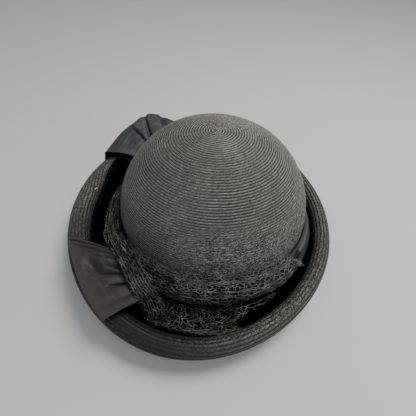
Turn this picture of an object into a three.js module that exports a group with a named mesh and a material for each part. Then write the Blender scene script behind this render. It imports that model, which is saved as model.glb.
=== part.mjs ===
// Breton hat in black sewn straw, with a velvet-lined upturned brim, a pleated ribbon band,
// two ribbon loops at the wearer's side and a gathered net veil.
// Millimetres, +Z up. The hat stands on the flat ring under its brim, at z = 0, and the
// origin is the middle of the head opening on that plane. +X is right, +Y is back.
import * as THREE from 'three';

// ---- driving dimensions -------------------------------------------------------------
const CROWN = { halfWidth: 96, halfDepth: 93.5, widestZ: 46, rise: 89.8, wall: 1.8 };
const DOME_ACROSS = 2.43;      // exponents of the dome's profile: a little squarer across,
const DOME_UP = 1.8;           // a little softer upwards than an ellipse
const BRIM = { centreX: -13.7, centreY: -0.9, halfWidth: 136.3, halfDepth: 150.9, wall: 2 };
const BRIM_FULLNESS = { amount: 1.15, phase: 0.77 };    // the plan bulges at its four corners
const ROLL = { radius: 7.7, leftGrowth: 2.6, centreZ: 36, slope: 0.05, lastAngle: 205 };
const FLAT = { start: 2, share: 0.22 };                 // resting ring, as a share of the reach
const ROLL_ANGLES = [80, 102, 125, 150, 176, ROLL.lastAngle];          // over the top and in
const COLLAR = { height: 14, wall: 1.6 };
const GROOVE = { angles: [4, 30, 56], depth: 0.9, halfAngle: 5 };   // between the outer straw rows
const FACING = { wall: 1.2, squareness: 2.3, steps: 5 };
const LIP_SHARE = 1.9;         // how far in from the brim's edge the roll ends, in roll radii
const WALL_STEPS = { outside: 7, inside: 5 };
const RIBBON_WALL = 1.2;
const SEAM_GAP = 0.3;          // clearance that keeps touching pieces apart
const CLOSE_GAP = 0.4;         // the same where a piece lies round the crown's facets

const RING_STEPS = 48;         // stations round the crown
const DOME_STEPS = 13;
const RAD = Math.PI / 180;

// Ribbon band: outer face from its top edge down, offset from the crown and height.
const BAND_PLEATS = [
  { out: 1.7, z: 44.5 }, { out: 3.7, z: 43.2 }, { out: 3.5, z: 41.0 }, { out: 6.3, z: 39.6 },
  { out: 6.1, z: 37.2 }, { out: 8.8, z: 34.6 }, { out: 9.8, z: 29 }, { out: 9.2, z: 22 },
  { out: 6.6, z: 14 }, { out: 2.6, z: 7.5 },
];
const BAND_BACK = [9, 8, 7, 6, 4, 2, 0];   // rows that its inner face follows
const BAND_FRONT_GROWTH = 0.18;            // share that it stands further out at the front

// Veil: one row for each section round the crown, in degrees. top is the height of the edge
// against the crown, crest the highest point, out the furthest one and foot the lowest.
const VEIL = [
  { at: 146, top: 46.5, crestOut: 5, crestZ: 47, outOut: 12.6, outZ: 39, footOut: 12.2, footZ: 30 },
  { at: 156, top: 46.5, crestOut: 8, crestZ: 48.5, outOut: 16, outZ: 41, footOut: 14, footZ: 26 },
  { at: 172, top: 47, crestOut: 10, crestZ: 50.5, outOut: 18.5, outZ: 43, footOut: 15.5, footZ: 26 },
  { at: 190, top: 47, crestOut: 10, crestZ: 53, outOut: 17, outZ: 49, footOut: 15, footZ: 45 },
  { at: 206, top: 47, crestOut: 12, crestZ: 56, outOut: 18.5, outZ: 53, footOut: 16.5, footZ: 50 },
  { at: 222, top: 47, crestOut: 15, crestZ: 58, outOut: 22.5, outZ: 54.5, footOut: 20, footZ: 51.5 },
  { at: 236, top: 47, crestOut: 19, crestZ: 57.5, outOut: 27.5, outZ: 54, footOut: 25, footZ: 51 },
  { at: 246, top: 47, crestOut: 22, crestZ: 54.5, outOut: 34, outZ: 51, footOut: 32, footZ: 48.5 },
  { at: 254, top: 47, crestOut: 20, crestZ: 47, outOut: 42, outZ: 34, footOut: 40, footZ: 24 },
  { at: 262, top: 47, crestOut: 15, crestZ: 45, outOut: 42, outZ: 28, footOut: 38, footZ: 17 },
  { at: 275, top: 47, crestOut: 14, crestZ: 43, outOut: 39, outZ: 26, footOut: 35, footZ: 15 },
  { at: 284, top: 47, crestOut: 14, crestZ: 42, outOut: 24, outZ: 24, footOut: 20, footZ: 14 },
  { at: 296, top: 47, crestOut: 13.5, crestZ: 42, outOut: 16.5, outZ: 27, footOut: 14, footZ: 17 },
  { at: 310, top: 47, crestOut: 12, crestZ: 43.5, outOut: 15.5, outZ: 31, footOut: 13.5, footZ: 20 },
  { at: 318, top: 47.5, crestOut: 9, crestZ: 47, outOut: 15, outZ: 36, footOut: 13.5, footZ: 25 },
  { at: 325, top: 46.5, crestOut: 5, crestZ: 46.8, outOut: 13, outZ: 39, footOut: 12.5, footZ: 31 },
];
const VEIL_STEPS = 38;
const VEIL_CLEAR = 0.5;        // clearance to the crown and the band under it

// Ribbon loops: one row for each run of the ribbon's length, from the front selvedge to the
// back one. gx, gy, gz is where the run is gathered, fx, fy where it folds; low and fold are
// the heights of the two layers at the fold, and top the height of the upper one's swell.
const FRONT_LOOP = [
  { gx: -49, gy: -97.5, gz: 34, fx: -83, fy: -132.6, low: 39.6, fold: 46.5, top: 47.5 },
  { gx: -57, gy: -92, gz: 34, fx: -100, fy: -116, low: 40.4, fold: 47, top: 49 },
  { gx: -65.5, gy: -84.5, gz: 34, fx: -114.4, fy: -96.3, low: 41.4, fold: 48, top: 49.5 },
  { gx: -73.5, gy: -76.5, gz: 34, fx: -126, fy: -75.6, low: 42.6, fold: 49.5, top: 51 },
  { gx: -81, gy: -68.5, gz: 34, fx: -136.2, fy: -53, low: 43.9, fold: 50.5, top: 51.5 },
];
const REAR_LOOP = [
  { gx: -81.5, gy: 68, gz: 34, fx: -130.5, fy: 66, low: 50.4, fold: 59, top: 59 },
  { gx: -74.5, gy: 75.5, gz: 34, fx: -119.5, fy: 87.5, low: 51.2, fold: 65, top: 65 },
  { gx: -66, gy: 83.5, gz: 34, fx: -105.5, fy: 107.5, low: 51.8, fold: 72, top: 72 },
  { gx: -57, gy: 90, gz: 34, fx: -89.5, fy: 124, low: 52.4, fold: 78, top: 78 },
  { gx: -46.5, gy: 96, gz: 34, fx: -70.5, fy: 127.5, low: 52.4, fold: 77, top: 77 },
];
// Pleats run out from a loop's gather: place across the ribbon from 0 to 1, depth in mm,
// half width as a share of the ribbon, and how far out they reach along it.
const FRONT_PLEATS = [
  { across: 0.36, depth: 3.2, half: 0.09, reach: 0.6 },
  { across: 0.5, depth: 2.8, half: 0.09, reach: 0.95 },
  { across: 0.66, depth: 2.6, half: 0.13, reach: 0.85 },
];
const REAR_PLEATS = [
  { across: 0.5, depth: 5, half: 0.1, reach: 1.1 },
  { across: 0.76, depth: 5, half: 0.1, reach: 1.2 },
  { across: 0.9, depth: 3, half: 0.08, reach: 0.8 },
];
const LOOP_ROWS = 13;
const LOOP_STEPS = 16;
const LOOP_WALL = 1.2;

// ---- helpers ------------------------------------------------------------------------
const lerp = (a, b, share) => a + (b - a) * share;
const clamp01 = (value) => Math.min(1, Math.max(0, value));
const smooth = (share) => share * share * (3 - 2 * share);

// A smooth curve through table values that are evenly spaced from 0 to 1.
function through(values, share) {
  const last = values.length - 1;
  const place = clamp01(share) * last;
  const i = Math.min(Math.floor(place), last - 1);
  const f = place - i;
  const [a, b, c, d] = [i - 1, i, i + 1, i + 2].map((k) => values[Math.min(last, Math.max(0, k))]);
  const slopeB = (c - a) / 2;
  const slopeC = (d - b) / 2;
  return ((2 * f - 3) * f * f + 1) * b + (((f - 2) * f + 1) * f) * slopeB
    + (3 - 2 * f) * f * f * c + ((f - 1) * f * f) * slopeC;
}

// A table row worked out between the rows on either side of a station.
function rowAt(table, key, value) {
  const next = Math.max(1, table.findIndex((row) => row[key] >= value));
  const [before, after] = [table[next - 1], table[next]];
  const share = smooth(clamp01((value - before[key]) / (after[key] - before[key])));
  const columns = Object.keys(before).filter((name) => name !== key);
  return Object.fromEntries(columns.map((name) => [name, lerp(before[name], after[name], share)]));
}

// A closed body from loops of points: each loop joins the next, and the first and last are
// joined to each other (closed) or filled with a fan each.
function bodyFromLoops(loops, closed) {
  const size = loops[0].length;
  const positions = loops.flat(2);
  const faces = [];
  const spans = closed ? loops.length : loops.length - 1;
  for (let i = 0; i < spans; i += 1) {
    const a = i * size;
    const b = ((i + 1) % loops.length) * size;
    for (let j = 0; j < size; j += 1) {
      const k = (j + 1) % size;
      faces.push(a + j, b + j, b + k, a + j, b + k, a + k);
    }
  }
  if (!closed) {
    [0, loops.length - 1].forEach((i, end) => {
      const middle = positions.length / 3;
      const sum = loops[i].reduce((total, p) => total.map((v, n) => v + p[n] / size), [0, 0, 0]);
      positions.push(...sum);
      for (let j = 0; j < size; j += 1) {
        const edge = [i * size + j, i * size + ((j + 1) % size)];
        faces.push(middle, ...(end ? edge.reverse() : edge));
      }
    });
  }
  return facingOut(positions, faces);
}

// Turn a closed surface so that its faces point out, and wrap it as a geometry.
function facingOut(positions, faces) {
  let volume = 0;
  const corner = (i) => new THREE.Vector3(...positions.slice(3 * i, 3 * i + 3));
  for (let i = 0; i < faces.length; i += 3) {
    const [a, b, c] = [0, 1, 2].map((n) => corner(faces[i + n]));
    volume += a.dot(b.cross(c));
  }
  const turned = volume < 0 ? faces.slice().reverse() : faces;
  const geometry = new THREE.BufferGeometry();
  geometry.setAttribute('position', new THREE.Float32BufferAttribute(positions, 3));
  geometry.setIndex(turned);
  geometry.computeVertexNormals();
  return geometry;
}

function named(name, geometry, color, roughness) {
  const material = new THREE.MeshStandardMaterial({ color, roughness, metalness: 0 });
  const mesh = new THREE.Mesh(geometry, material);
  mesh.name = name;
  return mesh;
}

// A station on the crown's plan: its point, the outward direction and the reach from there
// to the outside of the brim.
function station(angle) {
  const x = CROWN.halfWidth * Math.cos(angle);
  const y = CROWN.halfDepth * Math.sin(angle);
  const direction = new THREE.Vector2(x / CROWN.halfWidth ** 2, y / CROWN.halfDepth ** 2);
  direction.normalize();
  const px = (x - BRIM.centreX) / BRIM.halfWidth;
  const py = (y - BRIM.centreY) / BRIM.halfDepth;
  const dx = direction.x / BRIM.halfWidth;
  const dy = direction.y / BRIM.halfDepth;
  const a = dx * dx + dy * dy;
  const b = px * dx + py * dy;
  const reach = (Math.sqrt(b * b - a * (px * px + py * py - 1)) - b) / a;
  const plan = Math.atan2(py + reach * dy, px + reach * dx);
  const fuller = BRIM_FULLNESS.amount * Math.cos(4 * plan + BRIM_FULLNESS.phase);
  return { x, y, direction, reach: reach + fuller };
}

// Place a section's offset from the crown and height at a station.
const placed = (at, out, z) => [at.x + at.direction.x * out, at.y + at.direction.y * out, z];

const ringAngles = Array.from({ length: RING_STEPS }, (_, i) => (2 * Math.PI * i) / RING_STEPS);

function ringBody(sectionAt) {
  const loops = ringAngles.map((angle) => {
    const at = station(angle);
    return sectionAt(at, angle).map(([out, z]) => placed(at, out, z));
  });
  return bodyFromLoops(loops, true);
}

// ---- crown --------------------------------------------------------------------------
// The skin of the dome and its straight skirt, shrunk by inset, from the tip down to foot.
function crownRings(inset, foot) {
  const rings = [];
  for (let i = 1; i <= DOME_STEPS; i += 1) {
    const turn = (90 * RAD * i) / DOME_STEPS;
    const share = Math.sin(turn) ** (2 / DOME_ACROSS);
    const height = Math.max(0, Math.cos(turn)) ** (2 / DOME_UP);
    rings.push({ share, z: CROWN.widestZ + (CROWN.rise - inset) * height });
  }
  rings.push({ share: 1, z: foot });
  return rings.map(({ share, z }) => ringAngles.map((angle) => [
    (CROWN.halfWidth - inset) * share * Math.cos(angle),
    (CROWN.halfDepth - inset) * share * Math.sin(angle), z]));
}

function crown() {
  const foot = BRIM.wall + SEAM_GAP;
  const outer = crownRings(0, foot);
  const inner = crownRings(CROWN.wall, foot).reverse();
  const rings = [...outer, ...inner];
  const positions = rings.flat(2);
  const faces = [];
  for (let i = 0; i < rings.length - 1; i += 1) {
    for (let j = 0; j < RING_STEPS; j += 1) {
      const k = (j + 1) % RING_STEPS;
      const [a, b] = [i * RING_STEPS, (i + 1) * RING_STEPS];
      faces.push(a + j, b + j, b + k, a + j, b + k, a + k);
    }
  }
  const outerTip = positions.length / 3;
  positions.push(0, 0, CROWN.widestZ + CROWN.rise);
  positions.push(0, 0, CROWN.widestZ + CROWN.rise - CROWN.wall);
  const lastRing = (rings.length - 1) * RING_STEPS;
  for (let j = 0; j < RING_STEPS; j += 1) {
    const k = (j + 1) % RING_STEPS;
    faces.push(outerTip, j, k, outerTip + 1, lastRing + k, lastRing + j);
  }
  return facingOut(positions, faces);
}

// ---- brim and its facing ------------------------------------------------------------
const rollRadius = (angle) => ROLL.radius + ROLL.leftGrowth * Math.max(0, -Math.cos(angle));

function brimShape(at, angle) {
  const edgeY = at.y + at.direction.y * at.reach;
  return {
    radius: rollRadius(angle),
    centreZ: ROLL.centreZ + ROLL.slope * edgeY,
    flatEnd: FLAT.start + FLAT.share * at.reach,
  };
}

// The rising wall, a quarter of an ellipse from the resting ring to the widest point.
function risingWall(shape, reach, inset, steps) {
  const points = [];
  for (let i = 1; i < steps; i += 1) {
    const turn = (90 * RAD * i) / steps;
    points.push([
      lerp(shape.flatEnd, reach - inset, Math.sin(turn)),
      lerp(inset, shape.centreZ, 1 - Math.cos(turn)),
    ]);
  }
  return points;
}

function rollArc(shape, reach, radius, angles) {
  return angles.map((degrees) => [
    reach - shape.radius + radius * Math.cos(degrees * RAD),
    shape.centreZ + radius * Math.sin(degrees * RAD),
  ]);
}

function brimSection(at, angle) {
  const shape = brimShape(at, angle);
  const outsideWall = risingWall(shape, at.reach, 0, WALL_STEPS.outside);
  const insideWall = risingWall(shape, at.reach, BRIM.wall, WALL_STEPS.inside).reverse();
  const insideRadius = shape.radius - BRIM.wall;
  const grooves = GROOVE.angles.flatMap((degrees) => [
    ...rollArc(shape, at.reach, shape.radius, [degrees - GROOVE.halfAngle]),
    ...rollArc(shape, at.reach, shape.radius - GROOVE.depth, [degrees]),
    ...rollArc(shape, at.reach, shape.radius, [degrees + GROOVE.halfAngle]),
  ]);
  const outsideRoll = [...grooves, ...rollArc(shape, at.reach, shape.radius, ROLL_ANGLES)];
  const insideRoll = rollArc(shape, at.reach, insideRadius, [ROLL.lastAngle, 165, 120, 75, 30]);
  const collarOut = -CROWN.wall - SEAM_GAP;
  const collarIn = collarOut - COLLAR.wall;
  return [
    [collarIn, COLLAR.height], [collarIn, 1.5], [collarIn + 1.5, 0],
    [FLAT.start, 0], [shape.flatEnd, 0], ...outsideWall, ...outsideRoll,
    ...insideRoll, ...insideWall, [shape.flatEnd, BRIM.wall],
    [collarOut, BRIM.wall], [collarOut, COLLAR.height],
  ];
}

function facingSection(at, angle) {
  const shape = brimShape(at, angle);
  const lift = BRIM.wall + SEAM_GAP;
  const lipOut = at.reach - shape.radius * LIP_SHARE;
  const lipZ = shape.centreZ + shape.radius * Math.sin(ROLL.lastAngle * RAD) - SEAM_GAP;
  const power = 2 / FACING.squareness;
  const skin = (inset) => {
    const points = [[CLOSE_GAP, lift + inset], [shape.flatEnd, lift + inset]];
    for (let i = 1; i <= FACING.steps; i += 1) {
      const turn = (90 * RAD * i) / FACING.steps;
      const far = lipOut + FACING.wall - inset;
      const out = lerp(shape.flatEnd, far, Math.sin(turn) ** power);
      const z = lerp(lift + inset, lipZ, 1 - Math.max(0, Math.cos(turn)) ** power);
      points.push([out, Math.min(lipZ, z + SEAM_GAP)]);
    }
    return points;
  };
  return [...skin(0), ...skin(FACING.wall).reverse()];
}

// ---- ribbon band --------------------------------------------------------------------
const frontness = (angle) => Math.max(0, -Math.sin(angle));
const bandOut = (pleat, angle) => pleat.out * (1 + BAND_FRONT_GROWTH * frontness(angle));

function bandSection(_, angle) {
  const outer = BAND_PLEATS.map((pleat) => [bandOut(pleat, angle), pleat.z]);
  const inner = BAND_BACK.map((i) => outer[i])
    .map(([out, z]) => [Math.max(CLOSE_GAP, out - RIBBON_WALL), z]);
  return [...outer, ...inner];
}

// ---- veil ---------------------------------------------------------------------------
function veilSection(degrees) {
  const row = rowAt(VEIL, 'at', degrees);
  const angle = degrees * RAD;
  const bandFace = [BAND_PLEATS[6], BAND_PLEATS[5], BAND_PLEATS[3], BAND_PLEATS[1], BAND_PLEATS[0]]
    .map((pleat) => [bandOut(pleat, angle) + VEIL_CLEAR, pleat.z + 1.3 * VEIL_CLEAR]);
  const under = bandFace.map(([out, z]) => [out, Math.max(z, Math.min(row.footZ, row.top - 1.5))]);
  return [
    [VEIL_CLEAR, row.top], [lerp(VEIL_CLEAR, row.crestOut, 0.5), lerp(row.top, row.crestZ, 0.7)],
    [row.crestOut, row.crestZ],
    [lerp(row.crestOut, row.outOut, 0.75), lerp(row.crestZ, row.outZ, 0.4)],
    [row.outOut, row.outZ], [row.footOut, row.footZ],
    ...under, [VEIL_CLEAR, Math.min(row.top - 0.8, BAND_PLEATS[0].z + 1.4)],
  ];
}

function veil() {
  const [first, last] = [VEIL[0].at, VEIL[VEIL.length - 1].at];
  const loops = Array.from({ length: VEIL_STEPS + 1 }, (_, i) => {
    const degrees = lerp(first, last, i / VEIL_STEPS);
    const at = station(degrees * RAD);
    return veilSection(degrees).map(([out, z]) => placed(at, out, z));
  });
  return bodyFromLoops(loops, false);
}

// ---- ribbon loops -------------------------------------------------------------------
// Depth of the pleats at a place across the ribbon and along it from the gather.
function pleatDepth(pleats, across, along) {
  return pleats.reduce((depth, pleat) => {
    const side = clamp01(1 - Math.abs(across - pleat.across) / pleat.half);
    const fade = clamp01(1 - along / pleat.reach);
    return depth + pleat.depth * smooth(side) * Math.sqrt(fade) * clamp01(along * 5);
  }, 0);
}

// One run of the ribbon's length, as a closed loop of places along it and heights.
function ribbonRun(row, pleats, across) {
  const centre = [
    [0, row.gz], [0.22, lerp(row.gz, row.low, 0.35) - 0.9], [0.62, row.low - 0.2], [0.9, row.low],
    [1, lerp(row.low, row.fold, 0.5)], [0.93, row.fold], [0.62, row.top],
    [0.22, lerp(row.gz, row.top, 0.62) + 0.9],
  ];
  const curve = new THREE.CatmullRomCurve3(
    centre.map(([along, z]) => new THREE.Vector3(along, 0, z)), true);
  return Array.from({ length: LOOP_STEPS }, (_, i) => {
    const point = curve.getPoint(i / LOOP_STEPS);
    const tangent = curve.getTangent(i / LOOP_STEPS);
    const upper = i / LOOP_STEPS > 0.5 ? 1 : 0;
    return { along: point.x, z: point.z - upper * pleatDepth(pleats, across, point.x), tangent };
  });
}

function ribbonLoop(table, pleats) {
  const columns = Object.keys(table[0]);
  const loops = [];
  for (let i = 0; i < LOOP_ROWS; i += 1) {
    const across = i / (LOOP_ROWS - 1);
    const row = Object.fromEntries(
      columns.map((name) => [name, through(table.map((line) => line[name]), across)]));
    const length = Math.hypot(row.fx - row.gx, row.fy - row.gy);
    const skin = (half) => ribbonRun(row, pleats, across).map(({ along, z, tangent }) => {
      const side = new THREE.Vector2(-tangent.z, tangent.x * length).normalize();
      const out = along + (side.x * half) / length;
      return [lerp(row.gx, row.fx, out), lerp(row.gy, row.fy, out), z + side.y * half];
    });
    loops.push({ outer: skin(-LOOP_WALL / 2), inner: skin(LOOP_WALL / 2) });
  }
  // Each step along the run makes a cross loop: over the outer skin, back under the inner.
  const rings = Array.from({ length: LOOP_STEPS }, (_, step) => [
    ...loops.map(({ outer }) => outer[step]),
    ...loops.map(({ inner }) => inner[step]).reverse(),
  ]);
  return bodyFromLoops(rings, true);
}

// ---- the hat ------------------------------------------------------------------------
const hat = new THREE.Group();
hat.add(
  named('crown', crown(), 0x2a2a29, 0.7),
  named('brim', ringBody(brimSection), 0x242422, 0.72),
  named('velvet_facing', ringBody(facingSection), 0x060607, 1),
  named('ribbon_band', ringBody(bandSection), 0x3a3a3b, 0.55),
  named('bow_loop_front', ribbonLoop(FRONT_LOOP, FRONT_PLEATS), 0x2b2725, 0.6),
  named('bow_loop_rear', ribbonLoop(REAR_LOOP, REAR_PLEATS), 0x2b2c30, 0.6),
  named('veil', veil(), 0x1a1c1d, 0.6),
);
export default hat;
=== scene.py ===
"""Looks of the breton hat: black sewn straw, velvet, faille ribbon and millinery net.

Sizes are in millimetres until finished() scales a mesh to metres. +X is right, +Y is back,
and z = 0 is the plane that the hat rests on, as in the frame.
"""

import bmesh
import bpy
import math
import random
from bisect import bisect_right
from mathutils import Matrix, Vector, noise


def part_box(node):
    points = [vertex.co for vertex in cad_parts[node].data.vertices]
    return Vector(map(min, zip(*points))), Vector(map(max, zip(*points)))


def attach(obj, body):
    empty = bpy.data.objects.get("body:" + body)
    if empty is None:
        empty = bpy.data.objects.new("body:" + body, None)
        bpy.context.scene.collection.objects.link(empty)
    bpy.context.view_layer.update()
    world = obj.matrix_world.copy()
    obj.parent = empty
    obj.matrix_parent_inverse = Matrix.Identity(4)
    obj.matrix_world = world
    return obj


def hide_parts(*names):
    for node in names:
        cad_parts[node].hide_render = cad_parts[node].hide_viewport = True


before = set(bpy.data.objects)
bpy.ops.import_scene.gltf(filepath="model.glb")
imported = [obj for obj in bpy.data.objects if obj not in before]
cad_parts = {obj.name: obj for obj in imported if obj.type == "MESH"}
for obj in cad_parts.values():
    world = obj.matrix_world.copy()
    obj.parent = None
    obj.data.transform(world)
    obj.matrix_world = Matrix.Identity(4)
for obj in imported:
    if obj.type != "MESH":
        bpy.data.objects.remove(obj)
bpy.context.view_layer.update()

MM = 0.001
TURN = 2 * math.pi


def box_mm(node):
    return [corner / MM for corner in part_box(node)]


# ---- sizes of the hat ---------------------------------------------------------------
CROWN_LOW, CROWN_HIGH = box_mm("crown")
BRIM_LOW, BRIM_HIGH = box_mm("brim")

CROWN_A, CROWN_B = CROWN_HIGH.x, CROWN_HIGH.y     # half width and half depth at the band
CROWN_WIDEST = 46                                 # height of the widest place
CROWN_RISE = CROWN_HIGH.z - CROWN_WIDEST
CROWN_WALL = 1.8
DOME_ACROSS, DOME_UP = 2.43, 1.8                  # exponents of the dome's profile

BRIM_FULLNESS, BRIM_PHASE = 1.15, 0.77            # the plan bulges at its four corners
AXIS_FULLNESS = BRIM_FULLNESS * math.cos(BRIM_PHASE)
BRIM_CX = (BRIM_LOW.x + BRIM_HIGH.x) / 2
BRIM_CY = -0.9
BRIM_A = (BRIM_HIGH.x - BRIM_LOW.x) / 2 - AXIS_FULLNESS
BRIM_B = 150.9
BRIM_WALL = 2.0
ROLL = {"radius": 7.7, "left_growth": 2.6, "centre_z": 36, "slope": 0.05, "last": 205}
FLAT = {"start": 2, "share": 0.22}                # resting ring, as a share of the reach
COLLAR = {"height": 14, "wall": 1.6}
FACING = {"wall": 1.2, "lift": 2.3, "power": 2 / 2.3}
SEAM = 0.3

# Ribbon band: outer face from its top edge down, offset from the crown and height.
BAND_FOLDS = [(1.7, 44.5), (3.7, 43.2), (3.5, 41.0), (6.3, 39.6), (6.1, 37.2), (8.8, 34.6),
              (9.8, 29), (9.2, 22), (6.6, 14), (2.6, 7.5)]
BAND_FRONT_GROWTH = 0.18
BAND_WALL = 0.9

# How finely each piece is divided round the hat.
CROWN_STEPS, BRIM_STEPS, CLOTH_STEPS = 256, 288, 192
# Sizes of the cloth's texture, round the hat or a loop and across it.
BAND_LAY, FACING_LAY = (620, 48), (800, 60)
LOOP_LAY, FRONT_LOOP_ACROSS, REAR_LOOP_ACROSS = 110, 96, 110
BRIM_LAY_RADIUS = 140

# Straw braid: the spacings are matched to the hat's own rows, and are usual for fine plait.
CROWN_ROW, BRIM_ROW = 2.36, 3.3                   # spacing of the sewn rows
PLAIT = 1.9                                       # length of one crossing of the plait
# Strands of straw that show, in one crossing of the plait and in one row.
CROWN_FLECKS, BRIM_FLECKS = (2.5, 3.1), (2.1, 3.5)


# ---- small helpers ------------------------------------------------------------------
def lerp(a, b, share):
    return a + (b - a) * share


def clamp01(value):
    return min(1.0, max(0.0, value))


def smooth(share):
    share = clamp01(share)
    return share * share * (3 - 2 * share)


def through(values, share):
    """A smooth curve through values that are evenly spaced from 0 to 1."""
    last = len(values) - 1
    place = clamp01(share) * last
    i = min(int(place), last - 1)
    f = place - i
    a, b, c, d = (values[min(last, max(0, k))] for k in (i - 1, i, i + 1, i + 2))
    low, high = (c - a) / 2, (d - b) / 2
    return (((2 * f - 3) * f * f + 1) * b + ((f - 2) * f + 1) * f * low
            + (3 - 2 * f) * f * f * c + (f - 1) * f * f * high)


def finished(bm, name, material, merge=1e-4):
    """Merges doubles, turns faces out, scales to metres and makes the object."""
    bmesh.ops.remove_doubles(bm, verts=bm.verts, dist=merge)
    bmesh.ops.recalc_face_normals(bm, faces=bm.faces)
    bmesh.ops.scale(bm, vec=(MM, MM, MM), verts=bm.verts)
    for face in bm.faces:
        face.smooth = True
    mesh = bpy.data.meshes.new(name)
    bm.to_mesh(mesh)
    bm.free()
    piece = bpy.data.objects.new(name, mesh)
    bpy.context.scene.collection.objects.link(piece)
    mesh.materials.append(material)
    return piece


def bent_strip(section, steps, place, lay, closed=True, groove=None):
    """Draws a section out along Y, then bends it: each vertex has its place along the
    section in x, its share of the turn in y and its height over the surface in z. The
    attribute "groove" says how strongly the sewn rows and their painted shade lines, the
    painted shade in creases and under the net, and the velvet's painted sheen show there."""
    bm = bmesh.new()
    verts = [bm.verts.new((along, 0, height)) for along, height in section]
    edges = [bm.edges.new(pair) for pair in zip(verts, verts[1:])]
    if closed:
        edges.append(bm.edges.new((verts[-1], verts[0])))
    bmesh.ops.spin(bm, geom=verts + edges, cent=(0, 0, 0), axis=(0, 0, 1),
                   dvec=(0, 1 / steps, 0), angle=0, steps=steps)
    uv = bm.loops.layers.uv.new("lay")
    for face in bm.faces:
        for loop in face.loops:
            loop[uv].uv = lay(*loop.vert.co)
    depth = bm.verts.layers.float.new("groove") if groove else None
    for vert in bm.verts:
        if groove:
            vert[depth] = groove(*vert.co)
        vert.co = place(*vert.co)
    return bm


def evenly_laid(size):
    """The lay of cloth whose section is given in shares: size is round the hat and across."""
    return lambda share, turn, _: (turn * size[0], share * size[1])


def unevenness(turn, along, size, seed=0.0):
    """Smooth noise round the hat and along a section, -1 to 1; size is in millimetres."""
    ring = 100 / size
    spot = Vector((math.cos(TURN * turn) * ring, math.sin(TURN * turn) * ring,
                   along / size + seed))
    return noise.noise(spot) * 1.6


# ---- plan of the hat ----------------------------------------------------------------
class Station:
    """A place on the crown's plan, the way out from it and the brim's section there."""

    def __init__(self, turn):
        angle = TURN * turn
        self.angle = angle
        self.x, self.y = CROWN_A * math.cos(angle), CROWN_B * math.sin(angle)
        way = Vector((self.x / CROWN_A ** 2, self.y / CROWN_B ** 2)).normalized()
        self.way = way
        px, py = (self.x - BRIM_CX) / BRIM_A, (self.y - BRIM_CY) / BRIM_B
        dx, dy = way.x / BRIM_A, way.y / BRIM_B
        a, b = dx * dx + dy * dy, px * dx + py * dy
        reach = (math.sqrt(b * b - a * (px * px + py * py - 1)) - b) / a
        plan = math.atan2(py + reach * dy, px + reach * dx)
        self.reach = reach + BRIM_FULLNESS * math.cos(4 * plan + BRIM_PHASE)
        self.radius = ROLL["radius"] + ROLL["left_growth"] * max(0, -math.cos(angle))
        edge_y = self.y + way.y * self.reach
        self.centre_z = ROLL["centre_z"] + ROLL["slope"] * edge_y
        self.flat_end = FLAT["start"] + FLAT["share"] * self.reach

    def at(self, out, z):
        return Vector((self.x + self.way.x * out, self.y + self.way.y * out, z))


class Line:
    """A line in a station's section, measured by its length, with its way out."""

    def __init__(self, points, side=1):
        self.points, self.side = points, side
        self.marks = [0.0]
        for (a, b), (c, d) in zip(points, points[1:]):
            self.marks.append(self.marks[-1] + math.hypot(c - a, d - b))
        self.length = self.marks[-1]
        ways = [Vector((d - b, a - c)).normalized() * side
                for (a, b), (c, d) in zip(points, points[1:])]
        self.ways = [ways[0]] + [(p + q).normalized() for p, q in zip(ways, ways[1:])]
        self.ways.append(ways[-1])

    def at(self, along, height):
        along = min(self.length, max(0.0, along))
        i = min(bisect_right(self.marks, along), len(self.marks) - 1) - 1
        f = (along - self.marks[i]) / max(1e-9, self.marks[i + 1] - self.marks[i])
        (a, b), (c, d) = self.points[i], self.points[i + 1]
        way = self.ways[i].lerp(self.ways[i + 1], f)
        return lerp(a, c, f) + way.x * height, lerp(b, d, f) + way.y * height


def quarter(start, end, steps, power=1.0):
    """A quarter of an ellipse from a level start to an upright end, start left out."""
    points = []
    for i in range(1, steps + 1):
        turn = TURN / 4 * i / steps
        points.append((lerp(start[0], end[0], math.sin(turn) ** power),
                       lerp(start[1], end[1], 1 - max(0, math.cos(turn)) ** power)))
    return points


def by_turn(make):
    """Remembers what make(turn) gives, because a whole section shares one turn."""
    known = {}

    def look_up(turn):
        key = round(turn, 6)
        if key not in known:
            known[key] = make(turn)
        return known[key]
    return look_up


station = by_turn(Station)


# ---- materials ----------------------------------------------------------------------
def linear(hex_colour):
    """An sRGB hex colour as linear red, green, blue and alpha."""
    parts = [int(hex_colour[i:i + 2], 16) / 255 for i in (1, 3, 5)]
    return [p / 12.92 if p <= 0.04045 else ((p + 0.055) / 1.055) ** 2.4 for p in parts] + [1]


def add(tree, kind, inputs=None, **settings):
    """Adds a node with its settings, and links or sets its inputs."""
    node = tree.nodes.new(kind)
    for key, value in settings.items():
        setattr(node, key, value)
    for key, value in (inputs or {}).items():
        if isinstance(value, bpy.types.NodeSocket):
            tree.links.new(value, node.inputs[key])
        else:
            node.inputs[key].default_value = value
    return node


def new_material(name):
    material = bpy.data.materials.new(name)
    material.use_nodes = True
    tree = material.node_tree
    shader = tree.nodes["Principled BSDF"]
    return material, tree, shader


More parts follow.
